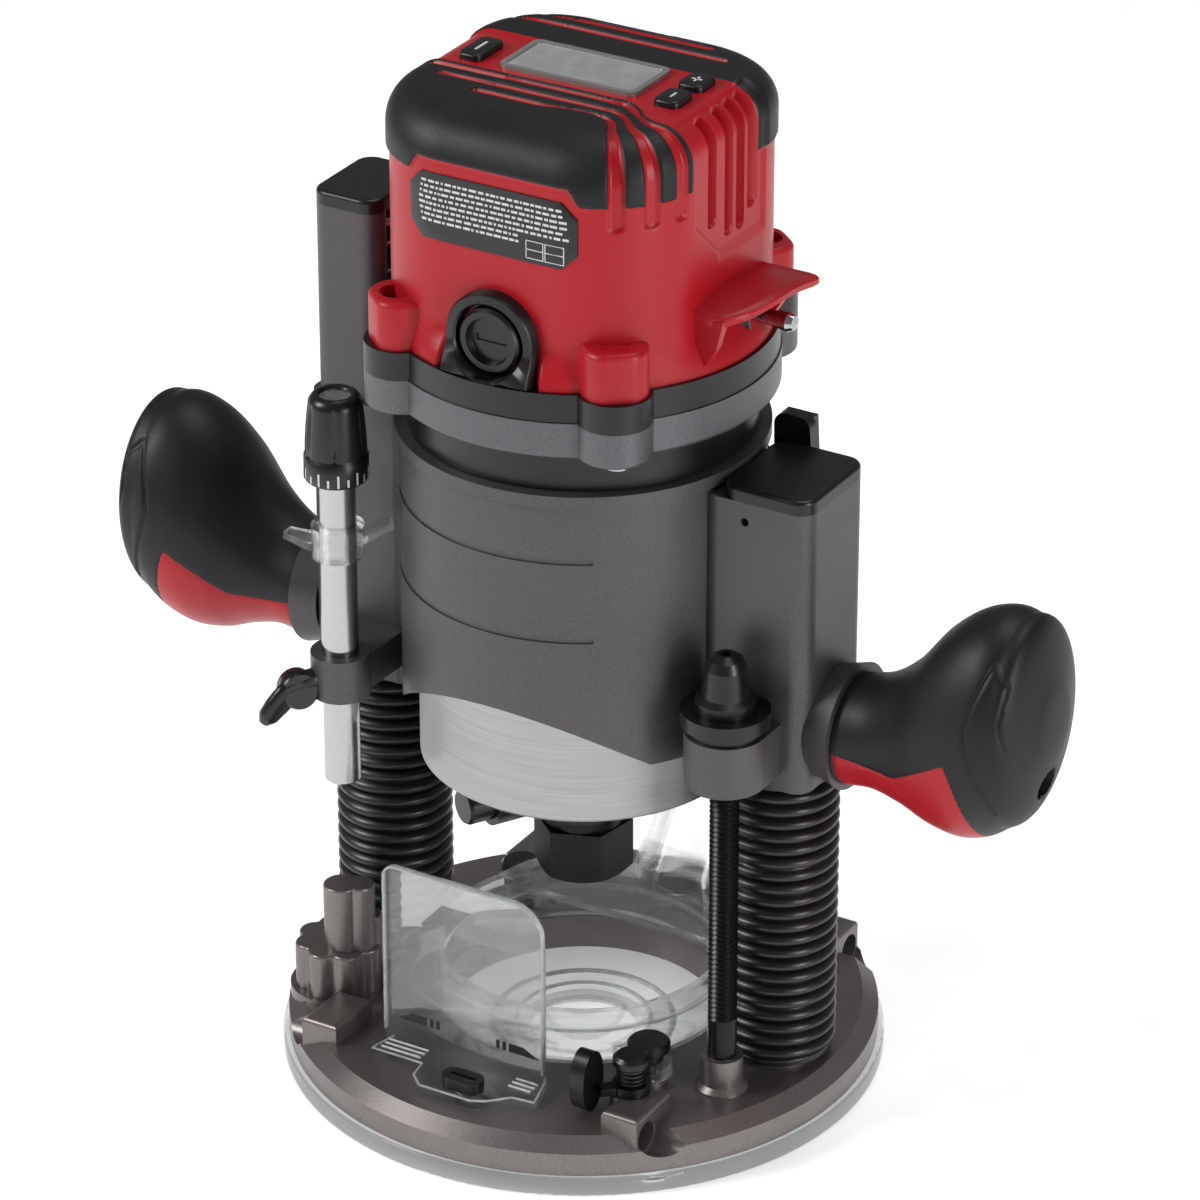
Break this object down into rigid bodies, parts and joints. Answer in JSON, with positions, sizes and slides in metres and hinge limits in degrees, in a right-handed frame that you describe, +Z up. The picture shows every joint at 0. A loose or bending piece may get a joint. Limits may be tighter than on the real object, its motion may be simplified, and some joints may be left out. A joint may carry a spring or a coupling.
{
  "type": "plunge router",
  "caption": "Plunge router with a clamped motor unit, twin sprung columns, bulb grips, depth stop turret, dust hood and clear sub-base.",
  "frame": {"origin": "centre of the sub-base's underside, on the spindle axis", "axes": "+Z up along the spindle; the columns and grips lie along X with the toggle on +X; -Y is the operator's front"},
  "size_m": [0.2854, 0.1674, 0.2906],
  "materials": {
    "clear_acrylic": "clear moulded plastic",
    "cast_base": "satin metallic paint on die-cast aluminium",
    "cast_grey": "dark metallic powder coat",
    "flange_grey": "dark grey metallic paint",
    "polished_aluminium": "turned and polished",
    "red_shell": "semi-gloss moulded nylon",
    "black_rubber": "soft-touch overmould",
    "black_plastic": "moulded",
    "bellows_rubber": "moulded",
    "steel": "machined",
    "chrome": "hard chrome",
    "black_oxide": "black oxide",
    "bronze": "sintered bronze",
    "display_glass": "grey display behind a clear window",
    "pale_plastic": "moulded",
    "copper_winding": "enamelled copper and laminated steel",
    "carbon": "pressed carbon",
    "board_green": "circuit board"
  },
  "bodies": {
    "base": {"sub_base": "clear_acrylic", "base_screws": "steel", "base_casting": "cast_base", "columns": "chrome", "bellows": "bellows_rubber", "plunge_springs": "steel", "shield_latch": "black_plastic", "dust_hood": "clear_acrylic", "height_stop_rod": "black_oxide"},
    "turret": {"stop_turret": "cast_base"},
    "shield": {"chip_shield": "clear_acrylic"},
    "front_hood_thumb": {"front_hood_screw": "black_plastic"},
    "rear_hood_thumb": {"rear_hood_screw": "black_plastic"},
    "front_clamp": {"front_rod_clamp": "black_plastic"},
    "rear_clamp": {"rear_rod_clamp": "black_plastic"},
    "stop_nut": {"height_stop_nut": "black_plastic"},
    "carriage": {"plunge_casting": "cast_grey", "housing_caps": "black_plastic", "column_bushes": "bronze", "right_grip": "black_rubber", "left_grip": "black_rubber", "right_grip_insert": "red_shell", "left_grip_insert": "red_shell", "carriage_bolts": "steel", "height_stop_bush": "black_plastic"},
    "lock_lever": {"plunge_lock_lever": "black_plastic"},
    "clamp_lever": {"motor_clamp_lever": "black_plastic"},
    "depth_slider": {"depth_rod": "chrome"},
    "depth_dial": {"depth_knob": "black_plastic"},
    "cursor": {"depth_cursor": "clear_acrylic"},
    "depth_lock": {"depth_lock_screw": "black_plastic"},
    "motor": {"motor_can": "polished_aluminium", "neck_ring": "black_plastic", "motor_flange": "flange_grey", "gasket_band": "black_plastic", "upper_housing": "red_shell", "front_overmould": "black_rubber", "rear_overmould": "black_rubber", "display_bezel": "pale_plastic", "display_window": "display_glass", "brush_caps": "black_plastic", "carbon_brushes": "carbon", "stator": "copper_winding", "bearings": "steel", "bearing_bridge": "black_plastic", "spindle_nose": "black_plastic", "switch_body": "black_plastic", "switch_boot": "black_plastic", "cord_inlet": "black_plastic", "control_board": "board_green", "housing_screws": "steel"},
    "select": {"select_button": "black_plastic"},
    "plus": {"plus_button": "black_plastic"},
    "minus": {"minus_button": "black_plastic"},
    "spindle_lock": {"spindle_lock_button": "black_plastic"},
    "toggle": {"toggle_lever": "chrome"},
    "spindle": {"armature": "steel", "cooling_fan": "black_plastic", "collet_nut": "black_oxide", "collet": "steel"}
  },
  "joints": [
    {"name": "plunge", "type": "slide", "parent": "base", "child": "carriage", "axis": [0, 0, 1], "range_m": [-0.033, 0], "stiffness_N_per_m": 600, "springref_m": 0.13, "deforming": ["bellows", "plunge_springs"]},
    {"name": "motor_lift", "type": "slide", "parent": "carriage", "child": "motor", "axis": [0, 0, 1], "range_m": [0, 0.05]},
    {"name": "spindle_spin", "type": "hinge", "parent": "motor", "child": "spindle", "pos_m": [0, 0, 0.1], "axis": [0, 0, 1], "continuous": true},
    {"name": "turret_turn", "type": "hinge", "parent": "base", "child": "turret", "pos_m": [-0.0592, -0.0327, 0.02], "axis": [0, 0, 1], "continuous": true},
    {"name": "shield_slide", "type": "slide", "parent": "base", "child": "shield", "axis": [1, 0, 0], "range_m": [-0.006, 0]},
    {"name": "front_hood_screw_turn", "type": "hinge", "parent": "base", "child": "front_hood_thumb", "pos_m": [0.04, -0.033, 0.02], "axis": [0, 0, 1], "continuous": true},
    {"name": "rear_hood_screw_turn", "type": "hinge", "parent": "base", "child": "rear_hood_thumb", "pos_m": [-0.04, 0.033, 0.02], "axis": [0, 0, 1], "continuous": true},
    {"name": "front_clamp_turn", "type": "hinge", "parent": "base", "child": "front_clamp", "pos_m": [0.0435, -0.0485, 0.02], "axis": [0, 0, 1], "range_deg": [-35, 0]},
    {"name": "rear_clamp_turn", "type": "hinge", "parent": "base", "child": "rear_clamp", "pos_m": [0.0435, 0.0485, 0.02], "axis": [0, 0, 1], "range_deg": [0, 35]},
    {"name": "stop_nut_turn", "type": "hinge", "parent": "base", "child": "stop_nut", "pos_m": [0.0587, -0.026, 0.13], "axis": [0, 0, 1], "continuous": true},
    {"name": "plunge_lock", "type": "hinge", "parent": "carriage", "child": "lock_lever", "pos_m": [0.0612, 0.016, 0.149], "axis": [0, 1, 0], "range_deg": [0, 25], "stiffness_Nm_per_rad": 0.4, "springref_deg": -20.05},
    {"name": "motor_clamp", "type": "hinge", "parent": "carriage", "child": "clamp_lever", "pos_m": [0.0189, 0.057, 0.153], "axis": [0, 0, 1], "range_deg": [-75, 0]},
    {"name": "depth_rod_slide", "type": "slide", "parent": "carriage", "child": "depth_slider", "axis": [0, 0, 1], "range_m": [0, 0.035]},
    {"name": "depth_knob_turn", "type": "hinge", "parent": "depth_slider", "child": "depth_dial", "pos_m": [-0.0548, -0.036, 0.18], "axis": [0, 0, 1], "continuous": true},
    {"name": "cursor_slide", "type": "slide", "parent": "depth_slider", "child": "cursor", "axis": [0, 0, 1], "range_m": [-0.02, 0.008]},
    {"name": "depth_lock_turn", "type": "hinge", "parent": "carriage", "child": "depth_lock", "pos_m": [-0.05865, -0.04059, 0.11514], "axis": [-0.6201, -0.7401, -0.2601], "continuous": true},
    {"name": "select_press", "type": "slide", "parent": "motor", "child": "select", "axis": [0, 0, -1], "range_m": [0, 0.0008], "stiffness_N_per_m": 800, "springref_m": -0.001},
    {"name": "plus_press", "type": "slide", "parent": "motor", "child": "plus", "axis": [0, 0, -1], "range_m": [0, 0.0008], "stiffness_N_per_m": 800, "springref_m": -0.001},
    {"name": "minus_press", "type": "slide", "parent": "motor", "child": "minus", "axis": [0, 0, -1], "range_m": [0, 0.0008], "stiffness_N_per_m": 800, "springref_m": -0.001},
    {"name": "spindle_lock_press", "type": "slide", "parent": "motor", "child": "spindle_lock", "axis": [0.5, 0.866, 0], "range_m": [0, 0.0025], "stiffness_N_per_m": 600, "springref_m": -0.002},
    {"name": "power_toggle", "type": "hinge", "parent": "motor", "child": "toggle", "pos_m": [0.0399, 0.008, 0.229], "axis": [0, 0, 1], "range_deg": [-16, 0]}
  ]
}
